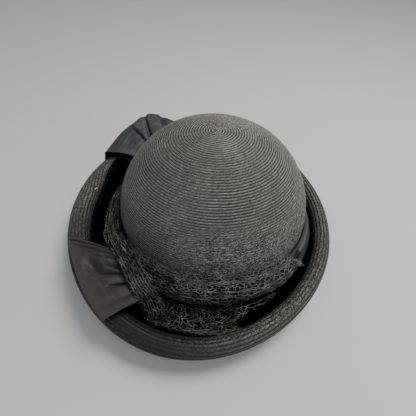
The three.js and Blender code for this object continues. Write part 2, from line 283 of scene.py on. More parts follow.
def sewn_straw(name, painted_row_shade, strand_dark, strand_light, groove, flecks, deep=(0, 0, 0, 1)):
    """Black-dyed straw plait, sewn row over row: matt strands that catch the light here and
    there as small pale flecks, and a painted shade line where one row goes under the next.
    It is painted darker round a spot, a painted shadow: deep gives that spot in metres and
    the share of its value kept there."""
    material, tree, shader = new_material(name)
    place = add(tree, "ShaderNodeTexCoord").outputs["Object"]
    lay = add(tree, "ShaderNodeUVMap", uv_map="lay")
    parts = add(tree, "ShaderNodeSeparateXYZ", {0: lay.outputs[0]})
    along, rows = parts.outputs[0], parts.outputs[1]
    wander = add(tree, "ShaderNodeTexNoise", {"Vector": place, "Scale": 420, "Detail": 2})
    across = add(tree, "ShaderNodeMath", {0: rows}, operation="FRACT").outputs[0]
    row = add(tree, "ShaderNodeMath", {0: rows}, operation="FLOOR").outputs[0]
    lean = add(tree, "ShaderNodeMath", {0: across, 1: 0.5}, operation="PINGPONG").outputs[0]
    stagger = add(tree, "ShaderNodeMath", {0: row, 1: 0.37}, operation="MULTIPLY").outputs[0]
    crossing = add(tree, "ShaderNodeMath", {0: along, 1: 1 / PLAIT, 2: stagger},
                   operation="MULTIPLY_ADD").outputs[0]
    leaned = add(tree, "ShaderNodeMath", {0: lean, 1: 1.3, 2: crossing},
                 operation="MULTIPLY_ADD").outputs[0]
    moved = add(tree, "ShaderNodeMath", {0: wander.outputs[0], 1: 0.9, 2: leaned},
                operation="MULTIPLY_ADD").outputs[0]
    hump = add(tree, "ShaderNodeMath", {0: moved, 1: 0.5}, operation="PINGPONG").outputs[0]
    ridge = add(tree, "ShaderNodeMapRange", {0: hump, 1: 0.06, 2: 0.42},
                interpolation_type="SMOOTHSTEP").outputs[0]
    strand = add(tree, "ShaderNodeMath", {0: moved, 1: flecks[0]}, operation="MULTIPLY")
    third = add(tree, "ShaderNodeMath", {0: rows, 1: flecks[1]}, operation="MULTIPLY")
    whole = [add(tree, "ShaderNodeMath", {0: node.outputs[0]}, operation="FLOOR").outputs[0]
             for node in (strand, third)]
    which = add(tree, "ShaderNodeCombineXYZ", {0: whole[0], 1: whole[1]})
    chance = add(tree, "ShaderNodeTexWhiteNoise", {"Vector": which.outputs[0]},
                 noise_dimensions="2D").outputs["Value"]
    cut = add(tree, "ShaderNodeAttribute", attribute_name="groove").outputs["Fac"]
    even = add(tree, "ShaderNodeMapRange", {0: chance, 1: 0.1, 2: 1, 3: 0.18, 4: 0.78}).outputs[0]
    sharp = add(tree, "ShaderNodeMapRange", {0: chance, 1: 0.5, 2: 0.72, 3: -0.1, 4: 1.3}).outputs[0]
    fleck = add(tree, "ShaderNodeMix", {0: cut, 2: sharp, 3: even}).outputs[0]
    tone = add(tree, "ShaderNodeMath", {0: ridge, 1: 0.2, 2: fleck},
               operation="MULTIPLY_ADD").outputs[0]
    straw = add(tree, "ShaderNodeMix", {0: tone, 6: linear(strand_dark),
                                        7: linear(strand_light)}, data_type="RGBA").outputs[2]
    # The line below is painted shade where one row goes under the next; the attribute groove sets
    # how strongly it shows.
    from_seam = add(tree, "ShaderNodeMath", {0: rows, 1: 0.4}, operation="ADD").outputs[0]
    turned = add(tree, "ShaderNodeMath", {0: from_seam}, operation="FRACT").outputs[0]
    off_seam = add(tree, "ShaderNodeMath", {0: turned, 1: 0.5}, operation="SUBTRACT").outputs[0]
    apart = add(tree, "ShaderNodeMath", {0: off_seam}, operation="ABSOLUTE").outputs[0]
    under = add(tree, "ShaderNodeMapRange", {0: apart, 1: groove * 0.5, 2: groove, 3: 1, 4: 0},
                interpolation_type="SMOOTHSTEP").outputs[0]
    line = add(tree, "ShaderNodeMath", {0: under, 1: cut}, operation="MULTIPLY",
               use_clamp=True).outputs[0]
    colour = add(tree, "ShaderNodeMix", {0: line, 6: straw, 7: linear(painted_row_shade)},
                 data_type="RGBA").outputs[2]
    cloud = add(tree, "ShaderNodeTexNoise", {"Vector": place, "Scale": 38, "Detail": 3})
    shade = add(tree, "ShaderNodeMapRange", {0: cloud.outputs[0], 1: 0.3, 2: 0.7, 3: 0.86, 4: 1.12})
    # The mask dyed below is a painted shadow: near deep's spot the straw's value falls to deep's
    # share.
    off = add(tree, "ShaderNodeVectorMath", {0: place, 1: deep[:3]}, operation="DISTANCE")
    dyed = add(tree, "ShaderNodeMapRange", {0: off.outputs["Value"], 1: 0.045, 2: 0.14, 3: deep[3],
                                            4: 1}, interpolation_type="SMOOTHSTEP").outputs[0]
    value = add(tree, "ShaderNodeMath", {0: shade.outputs[0], 1: dyed}, operation="MULTIPLY")
    hue = add(tree, "ShaderNodeHueSaturation", {"Color": colour, "Value": value.outputs[0]})
    raised = add(tree, "ShaderNodeBump", {"Height": tone, "Distance": 0.25 * MM, "Strength": 1})
    rough = add(tree, "ShaderNodeMapRange", {0: chance, 3: 0.75, 4: 0.5})
    tree.links.new(hue.outputs[0], shader.inputs["Base Color"])
    tree.links.new(rough.outputs[0], shader.inputs["Roughness"])
    tree.links.new(raised.outputs[0], shader.inputs["Normal"])
    shader.inputs["IOR"].default_value = 1.5
    return material


def silk_velvet(name, deep, pile, pale_patch):
    """Black silk velvet: nearly no light comes back, but for a purple bloom near its sewn
    edge, which is a painted sheen in its base colour."""
    material, tree, shader = new_material(name)
    place = add(tree, "ShaderNodeTexCoord").outputs["Object"]
    crush = add(tree, "ShaderNodeTexNoise", {"Vector": place, "Scale": 90, "Detail": 4})
    tone = add(tree, "ShaderNodeMapRange", {0: crush.outputs[0], 1: 0.35, 2: 0.7})
    colour = add(tree, "ShaderNodeMix", {0: tone.outputs[0], 6: linear(deep), 7: linear(pile)},
                 data_type="RGBA").outputs[2]
    edge = add(tree, "ShaderNodeAttribute", attribute_name="groove").outputs["Fac"]
    uneven = add(tree, "ShaderNodeMath", {0: edge, 1: crush.outputs[0]}, operation="MULTIPLY")
    bloom = add(tree, "ShaderNodeMapRange", {0: uneven.outputs[0], 2: 0.6}).outputs[0]
    bloomed = add(tree, "ShaderNodeMix", {0: bloom, 6: colour, 7: linear(pale_patch)},
                  data_type="RGBA").outputs[2]
    nap = add(tree, "ShaderNodeTexNoise", {"Vector": place, "Scale": 1400, "Detail": 2})
    raised = add(tree, "ShaderNodeBump", {"Height": nap.outputs[0], "Distance": 0.3 * MM})
    tree.links.new(bloomed, shader.inputs["Base Color"])
    tree.links.new(raised.outputs[0], shader.inputs["Normal"])
    shader.inputs["Roughness"].default_value = 1
    shader.inputs["Specular IOR Level"].default_value = 0.02
    shader.inputs["Sheen Weight"].default_value = 0.1
    shader.inputs["Sheen Roughness"].default_value = 0.35
    shader.inputs["Sheen Tint"].default_value = linear("#6f6378")
    return material


def faille(name, base, faded, pale_tone, pale_tone_at, rib=0.9, sheen=0.2):
    """Faille ribbon: fine ribs from selvedge to selvedge that give a dull silk sheen, paler
    along a stripe of it, and painted shade down in its creases. pale_tone_at gives which way
    of the ribbon the stripe is measured, its middle and its half width. The ribs are drawn at
    twice their real spacing, so that they show."""
    material, tree, shader = new_material(name)
    lay = add(tree, "ShaderNodeUVMap", uv_map="lay")
    parts = add(tree, "ShaderNodeSeparateXYZ", {0: lay.outputs[0]})
    along = parts.outputs[0]
    slub = add(tree, "ShaderNodeTexNoise", {"Vector": lay.outputs[0], "Scale": 0.25, "Detail": 5})
    run = add(tree, "ShaderNodeMath", {0: along, 1: 1 / rib}, operation="MULTIPLY").outputs[0]
    uneven = add(tree, "ShaderNodeMath", {0: slub.outputs[0], 1: 2.0, 2: run},
                 operation="MULTIPLY_ADD").outputs[0]
    ribs = add(tree, "ShaderNodeMath", {0: uneven, 1: 0.5}, operation="PINGPONG").outputs[0]
    stretched = add(tree, "ShaderNodeMapping", {0: lay.outputs[0], 3: (0.45, 0.04, 1)})
    streak = add(tree, "ShaderNodeTexNoise", {"Vector": stretched.outputs[0], "Scale": 1,
                                              "Detail": 4})
    cloud = add(tree, "ShaderNodeTexNoise", {"Vector": lay.outputs[0], "Scale": 0.03, "Detail": 3})
    both = add(tree, "ShaderNodeMath", {0: streak.outputs[0], 1: cloud.outputs[0]},
               operation="ADD").outputs[0]
    tone = add(tree, "ShaderNodeMapRange", {0: both, 1: 0.82, 2: 1.18})
    colour = add(tree, "ShaderNodeMix", {0: tone.outputs[0], 6: linear(base), 7: linear(faded)},
                 data_type="RGBA").outputs[2]
    way, middle, half = pale_tone_at
    off = add(tree, "ShaderNodeMath", {0: parts.outputs[way], 1: middle}, operation="SUBTRACT")
    far = add(tree, "ShaderNodeMath", {0: off.outputs[0]}, operation="ABSOLUTE").outputs[0]
    pale_patch = add(tree, "ShaderNodeMapRange", {0: far, 1: 0, 2: half, 3: 0.85, 4: 0},
                 interpolation_type="SMOOTHSTEP").outputs[0]
    paler = add(tree, "ShaderNodeMix", {0: pale_patch, 6: colour, 7: linear(pale_tone)},
                data_type="RGBA").outputs[2]
    # Painted shade: the colour darkens and the sheen falls where the attribute groove is high, in
    # creases and under the net.
    crease = add(tree, "ShaderNodeAttribute", attribute_name="groove").outputs["Fac"]
    shaded = add(tree, "ShaderNodeMapRange", {0: crease, 3: 1, 4: 0.02}).outputs[0]
    folded = add(tree, "ShaderNodeHueSaturation", {"Color": paler, "Value": shaded})
    raised = add(tree, "ShaderNodeBump", {"Height": ribs, "Distance": 0.12 * MM, "Strength": 0.6})
    gloss = add(tree, "ShaderNodeMapRange", {0: crease, 3: sheen, 4: 0}).outputs[0]
    tree.links.new(folded.outputs[0], shader.inputs["Base Color"])
    tree.links.new(gloss, shader.inputs["Sheen Weight"])
    tree.links.new(raised.outputs[0], shader.inputs["Normal"])
    shader.inputs["Roughness"].default_value = 0.62
    shader.inputs["Sheen Roughness"].default_value = 0.5
    shader.inputs["Sheen Tint"].default_value = linear("#9a9aa0")
    return material


def net_thread(name, dark, light):
    """Stiffened cotton net: dull dark threads, a little paler in patches."""
    material, tree, shader = new_material(name)
    place = add(tree, "ShaderNodeTexCoord").outputs["Object"]
    patch = add(tree, "ShaderNodeTexNoise", {"Vector": place, "Scale": 120, "Detail": 4})
    tone = add(tree, "ShaderNodeMapRange", {0: patch.outputs[0], 1: 0.33, 2: 0.67})
    colour = add(tree, "ShaderNodeMix", {0: tone.outputs[0], 6: linear(dark), 7: linear(light)},
                 data_type="RGBA").outputs[2]
    tree.links.new(colour, shader.inputs["Base Color"])
    shader.inputs["Roughness"].default_value = 0.7
    return material


def plain_thread(name, colour):
    """A scrap of dull cotton thread in one colour."""
    material, _, shader = new_material(name)
    shader.inputs["Base Color"].default_value = linear(colour)
    shader.inputs["Roughness"].default_value = 0.8
    return material


CROWN_STRAW = sewn_straw("black_dyed_straw_crown", "#070706", "#282826", "#999992", 0.24,
                         CROWN_FLECKS)
# deep darkens the brim round its front left, under the front loop: a painted shadow of the loop.
BRIM_STRAW = sewn_straw("black_dyed_straw_brim", "#020202", "#060605", "#6a6862", 0.24,
                        BRIM_FLECKS, deep=(-0.08, -0.12, 0.04, 0.12))
# Its last colour is the painted sheen near the brim's lip.
VELVET = silk_velvet("black_silk_velvet", "#030304", "#08060a", "#1f1b22")
# The band and both loops are one ribbon. The front loop's copy is painted darker and warmer, a
# painted shade; the rear loop's is painted paler and bluer, a painted sky light.
BAND_RIBBON = faille("charcoal_faille_band", "#242425", "#373737", "#525252", (1, 11, 9))
FRONT_RIBBON = faille("charcoal_faille_front_loop_painted_shade", "#0d0b0a", "#2a2422", "#433c39", (0, 62, 26))
REAR_RIBBON = faille("charcoal_faille_rear_loop_painted_skylight", "#17181c", "#40414a", "#34353a", (0, 62, 20))
# A near-black copy of the ribbon for the loops' inner side: painted shade inside the loops.
LOOP_INSIDE_SHADE = faille("charcoal_faille_inside_loop_painted_shade", "#070708", "#0e0e10", "#0e0e10", (0, 62, 9),
                     sheen=0.05)
# The veil is one net in one colour. These are lit and shaded copies of it: the gathered net's is
# browner, the front net's paler and bluer where light falls on the right, and the net underneath
# near black, a painted shade under the veil.
NET = net_thread("faded_cotton_net", "#242422", "#6f6e69")
NET_GATHERED = net_thread("faded_cotton_net_gathered_copy", "#1a1918", "#73716c")
NET_BLUISH = net_thread("faded_cotton_net_painted_light_copy", "#393b3c", "#7f8282")
NET_UNDER_SHADE = net_thread("cotton_net_underneath_painted_shade", "#070707", "#1c1d1d")


# ---- crown --------------------------------------------------------------------------
def dome_table(samples=240):
    """Length along the crown's profile from the tip, its share of the width and height."""
    table = [(0.0, 0.0, CROWN_WIDEST + CROWN_RISE)]
    half = (CROWN_A + CROWN_B) / 2
    for i in range(1, samples + 1):
        turn = TURN / 4 * (i / samples)
        share = math.sin(turn) ** (2 / DOME_ACROSS)
        z = CROWN_WIDEST + CROWN_RISE * max(0, math.cos(turn)) ** (2 / DOME_UP)
        length, before, z_before = table[-1]
        step = math.hypot((share - before) * half, z - z_before)
        table.append((length + step, share, z))
    length = table[-1][0]
    table.append((length + CROWN_WIDEST - CROWN_LOW.z, 1.0, CROWN_LOW.z))
    return table


DOME = dome_table()
DOME_MARKS = [row[0] for row in DOME]
DOME_LENGTH = DOME[-2][0]
SPLIT_ROWS = int((DOME_LENGTH + 8) / CROWN_ROW)      # sewn rows down to under the band


def on_crown(turn, along):
    along = min(DOME_MARKS[-1], max(0.0, along))
    i = min(bisect_right(DOME_MARKS, along), len(DOME) - 1) - 1
    f = (along - DOME_MARKS[i]) / (DOME_MARKS[i + 1] - DOME_MARKS[i])
    share = lerp(DOME[i][1], DOME[i + 1][1], f)
    angle = TURN * turn
    return Vector((CROWN_A * share * math.cos(angle), CROWN_B * share * math.sin(angle),
                   lerp(DOME[i][2], DOME[i + 1][2], f)))


def crown_way(turn, along):
    """The way out of the crown's surface."""
    step = 0.6
    down = on_crown(turn, along + step) - on_crown(turn, along - step)
    angle = TURN * turn
    round_it = Vector((-CROWN_A * math.sin(angle), CROWN_B * math.cos(angle), 0))
    way = round_it.cross(down) * -1
    if along < 0.3 or way.length < 1e-6:
        return Vector((0, 0, 1))
    return way.normalized()


# Each sewn row, from its upper edge down: share of the row and height of the straw there.
# The lower edge overhangs the next row.
ROW_SECTION = [(0.0, 0.0), (0.28, 0.26), (0.76, 0.4), (1.03, 0.28)]


def crown_groove(along, turn, _):
    """The rows lie flat low down in front and behind the tip, and are cut deep elsewhere.
    Their painted shade line is fainter where they lie flat.
    """
    spot = on_crown(turn, max(0, along + CROWN_ROW * (turn - 1)))
    low_front = smooth((104 - spot.z) / 28) * smooth((spot.x + 38) / 34) * smooth(-spot.y / 30)
    behind = smooth((spot.y - 8) / 50)
    mottle = noise.noise(spot / 24)
    return clamp01(0.95 + 0.35 * mottle - 0.85 * low_front - 0.3 * behind)


def crown_place(along, turn, height):
    spiral = along + CROWN_ROW * (turn - 1)
    height *= 0.35 + 0.65 * crown_groove(along, turn, 0) if height > 0 else 1
    wobble = 0.16 * unevenness(turn, spiral, 22) if spiral > CROWN_ROW else 0
    lift = height + (0.1 * unevenness(turn, spiral * 4, 9, 5) if height > 0.2 else 0)
    spiral = max(0.0, spiral + wobble)
    if along > SPLIT_ROWS * CROWN_ROW:
        spiral = min(DOME_MARKS[-1], lerp(spiral, along, smooth((along - DOME_LENGTH) / 30)))
    return on_crown(turn, spiral) + crown_way(turn, spiral) * lift


def make_crown():
    section = [((row + share) * CROWN_ROW, height)
               for row in range(SPLIT_ROWS) for share, height in ROW_SECTION]
    section.append((SPLIT_ROWS * CROWN_ROW, 0.0))
    section.append((DOME_MARKS[-1], 0.0))
    inside = [DOME_MARKS[-1] * share for share in (1, 0.9, 0.8, 0.7, 0.6, 0.5, 0.4, 0.3,
                                                   0.22, 0.14, 0.07, 0.03, 0)]
    section += [(along, -CROWN_WALL) for along in inside]

    def lay(along, turn, _):
        spiral = along + CROWN_ROW * (turn - 1)
        ring = TURN * on_crown(0, max(0, along)).x
        return turn * ring, spiral / CROWN_ROW

    bm = bent_strip(section, CROWN_STEPS, crown_place, lay, groove=crown_groove)
    return finished(bm, "straw_crown", CROWN_STRAW)


# ---- brim ---------------------------------------------------------------------------
def roll_last(turn):
    """Where the roll ends, as an angle round it: it is less turned in at the back left."""
    degrees = (turn % 1.0) * 360
    return ROLL["last"] - 92 * smooth((178 - degrees) / 30) * smooth((degrees - 96) / 20)


@by_turn
def brim_line(turn):
    """The brim's outer face at a turn, from the lip over the roll and down to the collar."""
    at = station(turn)
    roll = [(at.reach - at.radius + at.radius * math.cos(a), at.centre_z + at.radius * math.sin(a))
            for a in (math.radians(roll_last(turn) * (1 - i / 20)) for i in range(21))]
    wall = quarter((at.flat_end, 0), (at.reach, at.centre_z), 14)[:-1]
    collar_in = -CROWN_WALL - SEAM - COLLAR["wall"]
    foot = [(at.flat_end, 0), (FLAT["start"], 0), (collar_in + 1.5, 0.0), (collar_in, 1.5),
            (collar_in, COLLAR["height"])]
    return Line(roll + wall[::-1] + foot, side=-1)


ROLL_ZONE = 32                                    # rows keep their width this far from the lip
BRIM_LENGTH = max(brim_line(i / 24).length for i in range(24))


def brim_along(turn, along):
    """Rows further down the wall narrow where the brim is shallow."""
    if along <= ROLL_ZONE:
        return along
    share = (brim_line(turn).length - ROLL_ZONE) / (BRIM_LENGTH - ROLL_ZONE)
    return ROLL_ZONE + (along - ROLL_ZONE) * share


def brim_groove(along, turn, _):
    """The rows lie nearly flat on top of the roll in front; the outer ones are cut deep.
    Their painted shade line is fainter where they lie flat.
    """
    front = smooth(-math.sin(TURN * turn) * 1.5 - 0.2)
    right = smooth(math.cos(TURN * turn) * 2)
    outer = smooth((along - 14 - 4 * right) / 3)
    return lerp(0.6, lerp(0.08, 1.0, outer), front)


def brim_place(along, turn, height):
    wobble = 0.18 * unevenness(turn, along, 26, 3)
    if height > 0:
        height *= 0.5 + 1.3 * brim_groove(along, turn, 0) ** 2
    out, z = brim_line(turn).at(brim_along(turn, along) + wobble, height)
    return station(turn).at(out, max(z, 0.0))


def make_brim():
    lip, plain_foot = 2.6, 22                     # widths with no sewn rows
    rows = int((BRIM_LENGTH - plain_foot) / BRIM_ROW)
    section = [(0.0, -0.9), (0.15, 0.1), (1.2, 0.45)]
    for row in range(rows):
        start = lip + row * BRIM_ROW
        section += [(start + (1 - share) * BRIM_ROW, height)
                    for share, height in reversed(ROW_SECTION)]
    section.append((BRIM_LENGTH, 0.0))
    section += [(BRIM_LENGTH * share, -BRIM_WALL) for share in
                (1, 0.93, 0.86, 0.8, 0.7, 0.6, 0.5, 0.42, 0.36, 0.3, 0.25, 0.2, 0.15, 0.1, 0.05, 0)]

    def lay(along, turn, _):
        return turn * TURN * BRIM_LAY_RADIUS, -(along - lip) / BRIM_ROW

    bm = bent_strip(section, BRIM_STEPS, brim_place, lay, groove=brim_groove)
    return finished(bm, "straw_brim", BRIM_STRAW)


# ---- velvet facing ------------------------------------------------------------------
@by_turn
def facing_line(turn):
    """The velvet's upper face at a turn, from the crown out to the brim's lip."""
    at = station(turn)
    lift = FACING["lift"] + FACING["wall"]
    last = math.radians(roll_last(turn))
    lip_out = at.reach - at.radius * (1 - math.cos(last))
    lip_z = at.centre_z + at.radius * math.sin(last) - SEAM
    rise = quarter((at.flat_end, lift), (lip_out, lip_z), 14, FACING["power"])
    return Line([(0.4, lift), (at.flat_end, lift)] + rise, side=-1)


def make_facing():
    across, behind = 26, 10
    section = [(i / across, 0.0) for i in range(across + 1)]
    section += [(1 - i / behind, -FACING["wall"]) for i in range(behind + 1)]

    def place(share, turn, height):
        line = facing_line(turn)
        along = share * line.length
        soft = 0.5 * unevenness(turn, along, 16, 9) if height == 0 and share < 0.97 else 0
        out, z = line.at(along, height + soft * smooth(share * 4) * smooth((1 - share) * 4))
        return station(turn).at(max(0.4, out), max(z, FACING["lift"]))

    # The mask below marks where the velvet is painted paler near the lip: a painted sheen.
    def pale_patch_edge(share, turn, height):
        return smooth((share - 0.78) / 0.2)

    bm = bent_strip(section, CLOTH_STEPS, place, evenly_laid(FACING_LAY), groove=pale_patch_edge)
    return finished(bm, "velvet_facing_cloth", VELVET)


# ---- ribbon band --------------------------------------------------------------------
def make_band():
    outs, heights = [p[0] for p in BAND_FOLDS], [p[1] for p in BAND_FOLDS]
    across, behind = 45, 18
    section = [(i / across, 0.0) for i in range(across + 1)]
    section += [(1 - i / behind, -1.0) for i in range(behind + 1)]

    def place(share, turn, layer):
        at = station(turn)
        front = max(0, -math.sin(at.angle))
        out = through(outs, share) * (1 + BAND_FRONT_GROWTH * front)
        z = through(heights, share)
        slack = smooth(share * 6) * smooth((1 - share) * 5)
        out += 0.35 * unevenness(turn, share * 40, 14, 2) * slack
        z += 0.45 * unevenness(turn, share * 40, 30, 7) * slack
        return at.at(max(0.4, out + layer * BAND_WALL), z)

    # Painted shade: the band is darkened along its folds, and from 140 to 322 degrees, where the net
    # lies over it.
    def crease(share, turn, layer):
        folded = max(0.8 * smooth(1 - abs(share - fold) / 0.035) for fold in (0.0, 0.22, 0.46))
        degrees = turn * 360
        return max(folded, 0.9 * smooth((degrees - 140) / 15) * smooth((322 - degrees) / 8))

    bm = bent_strip(section, CLOTH_STEPS, place, evenly_laid(BAND_LAY), groove=crease)
    return finished(bm, "pleated_band", BAND_RIBBON)


# ---- ribbon loops -------------------------------------------------------------------
# One row for each run of the ribbon's length, from the front selvedge to the back one:
# where it is gathered (x, y, z), where it folds (x, y), the heights of its lower and upper
# layer at the fold, and the height of the upper one's swell.
FRONT_LOOP = [
    (-46, -106, 34, -83, -133.2, 39.6, 46.5, 47.2),
    (-56, -96, 34, -100, -116, 40.4, 47.5, 49.2),
    (-65.5, -86, 34, -114.4, -96.3, 41.4, 48.5, 50),
    (-73.5, -76.5, 34, -126, -75.6, 42.6, 49.5, 50.8),
    (-81, -68.5, 34, -136.2, -55, 43.9, 50.5, 51),
]
REAR_LOOP = [
    (-81.5, 68, 34, -130.8, 66, 50.4, 59, 58.5),
    (-74.5, 75.5, 34, -120.4, 91, 51.2, 66, 66.5),
    (-66, 83.5, 34, -107.5, 109.5, 51.8, 71.5, 72.5),
    (-57, 90, 34, -90, 125.5, 52.4, 78, 78),
    (-46.5, 96, 34, -71.5, 127.5, 52.4, 75.5, 74),
    (-38, 98, 34, -52, 124, 51, 69, 66),
]
# Folds in the upper layer: place across the ribbon at the gather and at the loop's end,
# depth, half width on the front and on the back side, and where along it starts and ends.
FRONT_FOLDS = [
    (0.43, 0.49, 5.5, 0.03, 0.16, 0.05, 0.84), (0.3, 0.31, 4.0, 0.06, 0.02, 0.16, 0.64),
    (0.935, 0.93, 1.6, 0.015, 0.03, 0, 1.1), (0.84, 0.87, 1.1, 0.04, 0.03, 0, 0.95),
    (0.74, 0.8, 1.4, 0.05, 0.05, 0, 0.6), (0.14, 0.12, 0.7, 0.07, 0.07, 0.1, 1.0),
]
REAR_FOLDS = [
    (0.27, 0.385, 3.2, 0.06, 0.028, 0.1, 0.93), (0.33, 0.6, 3.8, 0.08, 0.028, 0.1, 1.06),
    (0.64, 0.82, 4.6, 0.08, 0.12, 0.3, 1.0), (0.12, 0.1, 0.8, 0.1, 0.1, 0.2, 1.0),
]
# Hollows pressed into the upper layer: across, along, depth and the two half sizes.
FRONT_HOLLOWS = [(0.6, 0.7, 5.5, 0.14, 0.18), (0.62, 0.25, 4.0, 0.13, 0.22),
                 (0.4, 0.5, -1.6, 0.08, 0.3)]
REAR_HOLLOWS = [(0.2, 0.6, 3.0, 0.16, 0.3), (0.5, 0.8, -1.6, 0.08, 0.25)]
LOOP_WALL = 0.7
LOOP_OUT = (0, 0.22, 0.62, 0.9, 1, 0.95, 0.62, 0.22)      # the way round a loop, as shares out


def ring_through(points, share):
    """A smooth closed curve through points, at a share of its round."""
    count = len(points)
    place = (share % 1.0) * count
    i = int(place)
    f = place - i
    a, b, c, d = (points[(i + k) % count] for k in (-1, 0, 1, 2))
    return [((2 * f - 3) * f * f + 1) * q + ((f - 2) * f + 1) * f * (r - p) / 2
            + (3 - 2 * f) * f * f * r + (f - 1) * f * f * (s - q) / 2
            for p, q, r, s in zip(a, b, c, d)]


def folded_depth(folds, hollows, across, along):
    """How far the upper layer sinks under its swell, in folds and hollows."""
    depth = 0
    for inner, outer, deep, front, back, start, end in folds:
        off = across - lerp(inner, outer, along)
        side = smooth(1 - abs(off) / (back if off > 0 else front))
        reach = math.sqrt(clamp01((end - along) * 4)) * smooth((along - start) * 8)
        depth += deep * side * side * reach
    for middle, out, deep, wide, long in hollows:
        far = math.hypot((across - middle) / wide, (along - out) / long)
        depth += deep * smooth(1 - far)
    return depth


def make_loop(name, table, folds, hollows, material, width, recess, drop=0.0):
    """A loop of ribbon, whose texture is width across. At its front selvedge the lower layer
    stands back by the share recess and drops over the brim's edge by drop."""
    # Painted shade along the upper layer's folds, darkest in the narrow ones.
    def crease(across, share, _):
        along = ring_through([(out,) for out in LOOP_OUT], share)[0]
        shade = 0
        for inner, outer, _, front, back, start, end in folds:
            steep = min(front, back)
            off = abs(across - lerp(inner, outer, along) - 0.006)
            near = smooth(1 - off / max(0.024, steep / 2))
            reach = smooth((end - along) * 8) * smooth((along - start) * 8)
            shade = max(shade, near * reach * lerp(0.45, 1, smooth((0.05 - steep) / 0.03)))
        return shade if share > 0.5 else 0

    def place(across, share, _):
        lower = smooth(share / 0.1) * smooth((0.52 - share) / 0.12)
        across = lerp(across, lerp(recess, 1, across), lower)
        gx, gy, gz, fx, fy, low, fold, top = (
            through([row[k] for row in table], across) for k in range(8))
        heights = (gz, lerp(gz, low, 0.35) - 0.9, low - 0.2, low, lerp(low, fold, 0.62), fold,
                   top, lerp(gz, top, 0.66) + 0.9)
        along, z = ring_through(list(zip(LOOP_OUT, heights)), share)
        over_edge = smooth(1 - across / 0.2) * smooth(1 - abs(share - 0.44) / 0.065)
        z -= drop * over_edge
        along += 0.01 * drop * over_edge
        if share > 0.5:
            z -= folded_depth(folds, hollows, across, along)
        z += 0.9 * noise.noise(Vector((across * 5, along * 4, share * 2))) * smooth(along * 2)
        z += 0.3 * noise.noise(Vector((across * 14, along * 9, share))) * smooth(along * 2)
        return Vector((lerp(gx, fx, along), lerp(gy, fy, along), z))

    columns, steps = 130, 80
    section = [(i / columns, 0.0) for i in range(columns + 1)]
    bm = bent_strip(section, steps, place, evenly_laid((LOOP_LAY, width)), closed=False,
                    groove=crease)
    piece = finished(bm, name, material)
    # The loops' inner side gets the near-black copy, a painted shade.
    piece.data.materials.append(LOOP_INSIDE_SHADE)
    wall = piece.modifiers.new("ribbon thickness", "SOLIDIFY")
    wall.material_offset = 1
    wall.thickness = LOOP_WALL * MM
    wall.offset = 0
    return piece


# ---- veil ---------------------------------------------------------------------------
# The net round the band, a row for each section of it: degrees, height of its edge against
# the crown, then offset and height of its crest, of its furthest place and of its foot.
NET_ROUND = [
    (146, 46.5, 4, 46.5, 11.5, 38, 11.5, 29), (172, 47, 6, 47, 14, 40, 12.5, 28),
    (195, 47, 5, 46.5, 14, 40, 12.5, 28), (214, 50, 3.5, 47, 13.5, 39.5, 12.5, 27),
    (226, 53, 5.5, 49, 14.5, 38.5, 13, 25), (240, 54.5, 6.5, 49.5, 15.2, 37.5, 13, 23),
    (262, 55, 6.5, 49.5, 13.8, 36.5, 12.5, 24), (280, 54.5, 6.5, 49.5, 13.8, 36.5, 12.5, 24),
    (296, 53, 7, 48.5, 14.3, 36, 12.5, 26), (310, 50, 7.5, 46.5, 14, 36, 12.3, 28),
    (318, 47.5, 7, 46, 12, 38, 11.5, 32), (326, 46, 5, 45, 10, 40, 10, 36),
]
# The net gathered lengthwise down the left side and over the front loop, to its foot in the
# channel: degrees, offset and height of its outer and of its inner border.
GATHER_OUTER = [
    (144, 11, 34), (158, 14, 38), (173, 16.5, 41), (187, 16.5, 44), (199, 17, 47), (206, 20, 50),
    (214, 20.5, 52), (225, 22, 53), (234.5, 29, 53), (241, 34.5, 50), (245.5, 37.5, 40),
    (247, 39, 23),
]
GATHER_INNER = [
    (144, 1, 46), (158, 1, 47), (173, 1.2, 48), (187, 1.5, 48.5), (200, 2.5, 49), (210, 3.5, 50),
    (220, 5, 52), (231, 8.5, 54), (239.5, 13.5, 55.5), (246.5, 20.5, 53), (252, 26.5, 42),
    (254, 31.5, 24),
]
# The loose net in the channel in front: offset and height from the band to the roll.
LOOSE = [(12.5, 23), (17, 22.5), (23, 22), (29, 22.5), (35, 25), (38.5, 27.5), (40.5, 31)]
LOOSE_FROM, LOOSE_TO = 246, 288
KNOT = (80.5, -70, 43)                            # where the net's right end is caught
THREAD = 0.25                                     # radius of the net's thread


def net_row(degrees):
    last = len(NET_ROUND) - 1
    i = next((k for k in range(1, last) if NET_ROUND[k][0] >= degrees), last)
    before, after = NET_ROUND[i - 1], NET_ROUND[i]
    share = smooth((degrees - before[0]) / (after[0] - before[0]))
    return [lerp(p, q, share) for p, q in zip(before[1:], after[1:])]


def on_net(degrees, share, lift):
    """A place on the net round the band: share 0 is its edge on the crown and 1 its foot."""
    top, crest, crest_z, out, out_z, foot, foot_z = net_row(degrees)
    line = [(0.5 - 0.09 * max(0, top - CROWN_WIDEST), top),
            (lerp(0.8, crest, 0.5), lerp(top, crest_z, 0.6)), (crest, crest_z),
            (lerp(crest, out, 0.75), lerp(crest_z, out_z, 0.4)), (out, out_z), (foot, foot_z)]
    at = station(degrees / 360)
    where = through([p[0] for p in line], share)
    z = through([p[1] for p in line], share)
    steep = smooth(share * 1.2)
    return at.at(max(0.3, where + lift * steep), z + lift * (1 - 0.5 * steep))


def border(rows):
    return [station(degrees / 360).at(out, z) for degrees, out, z in rows]


GATHER_BORDERS = border(GATHER_OUTER), border(GATHER_INNER)


